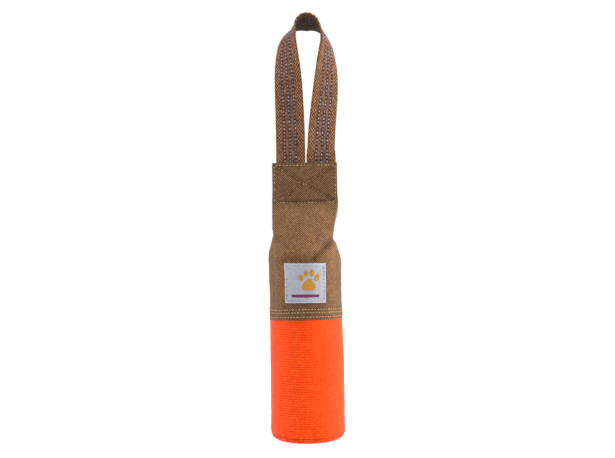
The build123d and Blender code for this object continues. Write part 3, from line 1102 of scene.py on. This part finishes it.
def half_line(side):
    """Middle of the webbing from the top of the loop down to its end inside the tab."""
    spring = LOOP_TOP - ARCH_HEIGHT
    turn = np.linspace(0, math.pi / 2, 60, endpoint=False)
    arch = np.stack([ARCH_HALF * np.sin(turn), spring + ARCH_HEIGHT * np.cos(turn)], -1)
    drop = np.linspace(0, 1, 160)
    x = ARCH_HALF - (ARCH_HALF - LEG_X) * np.sin(math.pi / 2 * drop) ** 2
    leg = np.stack([x, spring + (HINGE_Z - spring) * drop], -1)
    end = np.stack([np.full(40, LEG_X), np.linspace(HINGE_Z - 0.6, END_LOW[2], 40)], -1)
    x, z = np.vstack([arch, leg, end]).T
    y = LEAN_BACK * smooth(1 - (LOOP_TOP - z) / LEAN_HEIGHT)
    shift = LEG_SHIFT + LOOP_SHIFT * smooth((z - HINGE_Z) / SHIFT_HEIGHT)
    return np.stack([side * x + shift, y, z], -1)


def webbing_line():
    """Middle, across and facing vectors along the whole strip, left end to right end, evenly spaced.
    Across points to the legs' outer edges and, at the top, to the back."""
    left, right = half_line(-1), half_line(1)
    line = np.vstack([left[::-1], right[1:]])
    run = run_along(line)
    even = np.arange(0, run[-1], WEB_STEP)
    line = read_off(line, run, even)
    for _ in range(3):
        line[1:-1] = (line[:-2] + 2 * line[1:-1] + line[2:]) / 4
    tangent = unit(np.gradient(line, axis=0))
    from_top = even - run[len(left) - 1]
    away = np.abs(from_top)
    side = np.where(from_top < 0, -1.0, 1.0)
    near = away / SHOULDER_RUN
    turn = math.pi / 2 / (1 + (away / TWIST_LENGTH) ** TWIST_POWER)
    turn = turn + (LEG_TURN + side * RIGHT_LEG_TURN) * smooth(away / 30)
    turn = turn + SHOULDER_TWIST * near * np.exp(0.5 - 0.5 * near**2)
    turn = turn * smooth((line[:, 2] - HINGE_Z + 1) / FLAT_HEIGHT)
    depth = np.sin(turn)
    across = np.stack([side * np.cos(turn), depth * math.cos(ARCH_DROP), -depth * math.sin(ARCH_DROP)], -1)
    across = unit(across - tangent * (across * tangent).sum(1)[:, None])
    return line, across, np.cross(tangent, across), even


WEB_LINE, WEB_ACROSS, WEB_FACING, WEB_RUN = webbing_line()


def on_webbing(run, aside, out):
    """Points on the strip: run along it, aside from its middle and out from its middle plane."""
    line, across, facing = (read_off(v, WEB_RUN, run) for v in (WEB_LINE, WEB_ACROSS, WEB_FACING))
    return line + across * np.asarray(aside)[..., None] + facing * np.asarray(out)[..., None]


UNDER_SHADE = 0.76  # painted shade: the arch's underside is this much darker, as it is kept from the light
RIGHT_SHADE = 0.08  # and the right leg by this, painted shade as it is turned a little from the light


def under_arch(run):
    """1 under the top of the loop, falling to 0 in the legs."""
    height = np.interp(run, WEB_RUN, WEB_LINE[:, 2])
    return smooth((height - LOOP_TOP + 42) / 25)


def webbing_section():
    """The strip's section as (aside, out, place across the weave): flat faces and round edges."""
    edge = WEB_T / 2
    flat = WEB_HALF - edge
    half = [(a, edge, WEB_HALF + a) for a in np.linspace(-flat, flat, 25)]
    for turn in np.radians(np.linspace(75, -75, 7)):
        weave = WEB_HALF + flat + edge * (math.pi / 2 - abs(turn))
        half.append((flat + edge * math.cos(turn), edge * math.sin(turn), weave))
    return np.vstack([half, [0, 0, 2 * WEB_HALF] - np.array(half)])


def make_webbing():
    section = webbing_section()
    run, index = np.meshgrid(WEB_RUN, np.arange(len(section)), indexing="ij")
    aside, out, weave = section[index, 0], section[index, 1], section[index, 2]
    at_edge = smooth((np.abs(aside) - WEB_HALF + 1.6) / 1.2)
    aside = aside + np.sign(aside) * at_edge * 0.10 * np.sin(2 * math.pi * run / 1.9)
    dip = sum(bell(aside - share * 2 * WEB_HALF, 0.8) for share in TRACERS)
    out = out * (1 - 0.1 * dip + 0.05 * np.sin(run / 7.3) * np.sin(aside / 4.0))
    rows, columns = run.shape
    faces = grid_faces(rows, columns, True, flip=True)
    faces.append(tuple(range(columns)))
    faces.append(tuple(range((rows - 1) * columns, rows * columns))[::-1])
    points = on_webbing(run, aside, out).reshape(-1, 3)
    uv = np.stack([weave, run], -1).reshape(-1, 2)
    # painted shade on the arch's underside and on the right leg
    right_leg = smooth((run - WEB_RUN[-1] / 2 - 30) / 20)
    underside = out < -0.35 * WEB_T
    tone = 1 - UNDER_SHADE * under_arch(run) * underside - RIGHT_SHADE * right_leg
    webbing = new_mesh("webbing", points, faces, uv, webbing_cloth(), tone)
    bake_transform(webbing)
    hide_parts("webbing_left_end", "webbing_right_end", "webbing_left_bend")
    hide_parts("webbing_right_bend", "webbing_loop")


def make_tracers():
    """Rows of short light floats on both faces of the webbing."""
    shares = np.array([0.12, 0.45, 0.72, 0.9, 1.0])
    angle, share = np.meshgrid(spokes(12), shares)
    columns = angle.shape[1]
    long, wide = TRACER_LONG * share * np.sin(angle), TRACER_WIDE * share * np.cos(angle)
    height = WEB_T / 2 - 0.12 + 0.5 * np.sqrt(np.maximum(1 - share**2.6, 0))
    rng = np.random.RandomState(81)
    visible = WEB_RUN[WEB_LINE[:, 2] > TAB_TOP - 2]
    starts = np.arange(visible[0], visible[-1], TRACER_PITCH)
    points, faces, uv, tone = [], [], [], []
    for face in (1, -1):
        for k, column in enumerate(TRACERS):
            for start in starts:
                base = len(tone)
                run = start + long + rng.uniform(-0.12, 0.12) + 0.2 * k
                aside = column * 2 * WEB_HALF + wide * rng.uniform(0.92, 1.08)
                points.append(on_webbing(run, aside, face * height).reshape(-1, 3))
                uv.append(np.stack([long + start, wide * 1.5], -1).reshape(-1, 2))
                # painted shade on the floats under the arch
                tone += [1 - UNDER_SHADE * float(under_arch(start)) * (face < 0)] * angle.size
                faces += grid_faces(*angle.shape, True, base, face > 0)
                faces.append(tuple(range(base, base + columns))[::face])
    uv, material = np.vstack(uv), thread("tracer_thread")
    tracers = new_mesh("webbing_tracers", np.vstack(points), faces, uv, material, tone)
    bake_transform(tracers)


# --- studio
CAMERA_X, CAMERA_Y, CAMERA_Z = 2.4, -750.0, 180.0
CAMERA_ROLL = math.radians(0.76)
FLOOR_GLOW = 0.5  # makes the floor white in every view
WORLD_TOP = 0.5  # light from straight above, as a share of the light at eye height
WORLD_FADE = (0.42, 0.75)  # from one to the other between these heights of a line of sight 1 long


def make_floor():
    angle, radius = np.meshgrid(spokes(64), np.r_[0.5, np.geomspace(60, 6000, 40)])
    points = np.stack([radius * np.cos(angle), radius * np.sin(angle), 0 * radius - 0.05], -1)
    faces = grid_faces(*angle.shape, True)
    faces.append(tuple(range(angle.shape[1]))[::-1])
    shade = Shade("floor", 0.9, 0.0, 0.1)
    grain = shade.noise(shade.place(), 0.5, 2.0)
    shade.colour(shade.mix(grain, rgb(230, 230, 230), rgb(234, 234, 234)))
    shade.surface.inputs["Emission Color"].default_value = (1, 1, 1, 1)
    shade.surface.inputs["Emission Strength"].default_value = FLOOR_GLOW
    uv = points[..., :2].reshape(-1, 2)
    floor = new_mesh("floor", points.reshape(-1, 3), faces, uv, shade.material)


def make_world():
    """A white sweep all round at eye height, softer above."""
    world = bpy.data.worlds.new("studio")
    world.use_nodes = True
    bpy.context.scene.world = world
    tree = world.node_tree
    place = tree.nodes.new("ShaderNodeTexCoord")
    split = tree.nodes.new("ShaderNodeSeparateXYZ")
    ramp = tree.nodes.new("ShaderNodeMapRange")
    ramp.interpolation_type = "SMOOTHSTEP"
    for socket, value in zip(ramp.inputs[1:], (*WORLD_FADE, 1.0, WORLD_TOP)):
        socket.default_value = value
    back = tree.nodes["Background"]
    tree.links.new(place.outputs["Generated"], split.inputs[0])
    tree.links.new(split.outputs[2], ramp.inputs[0])
    tree.links.new(ramp.outputs[0], back.inputs["Strength"])
    back.inputs["Color"].default_value = (1, 1, 1, 1)


def add_light(name, place, aim, size, power):
    """An area light, in metres and watts."""
    light = bpy.data.lights.new(name, "AREA")
    light.shape = "RECTANGLE"
    light.size, light.size_y = size
    light.energy = power
    lamp = bpy.data.objects.new(name, light)
    lamp.location = place
    way = mathutils.Vector(aim) - mathutils.Vector(place)
    lamp.rotation_euler = way.to_track_quat("-Z", "Y").to_euler()
    bpy.context.scene.collection.objects.link(lamp)


def make_lights():
    add_light("key", (1.1, -0.1, 0.45), (0, 0, 0.16), (0.5, 1.0), 19.0)
    add_light("fill", (-1.1, 0.0, 0.4), (0, 0, 0.16), (0.7, 1.0), 8.0)
    add_light("top", (0.0, -0.2, 1.3), (0, 0, 0.2), (0.8, 0.6), 9.0)


def make_camera():
    camera = bpy.data.cameras.new("camera")
    camera.sensor_width, camera.lens = 36.0, 50.49
    camera.clip_start = 0.01
    eye = bpy.data.objects.new("camera", camera)
    eye.location = (CAMERA_X * MM, CAMERA_Y * MM, CAMERA_Z * MM)
    eye.rotation_euler = (math.pi / 2, CAMERA_ROLL, 0)
    bpy.context.scene.collection.objects.link(eye)
    bpy.context.scene.camera = eye
    bpy.context.scene.view_settings.view_transform = "Standard"


make_camera()
make_world()
make_lights()
make_floor()
finish_hidden_parts()
make_orange_side()
make_orange_bottom()
make_bottom_stitches()
make_yoke()
make_hem_stitches()
make_back_lap()
make_back_lap_stitches()
make_label()
make_label_stitches()
make_paw()
make_bar()
make_webbing()
make_tracers()
make_box_stitches()
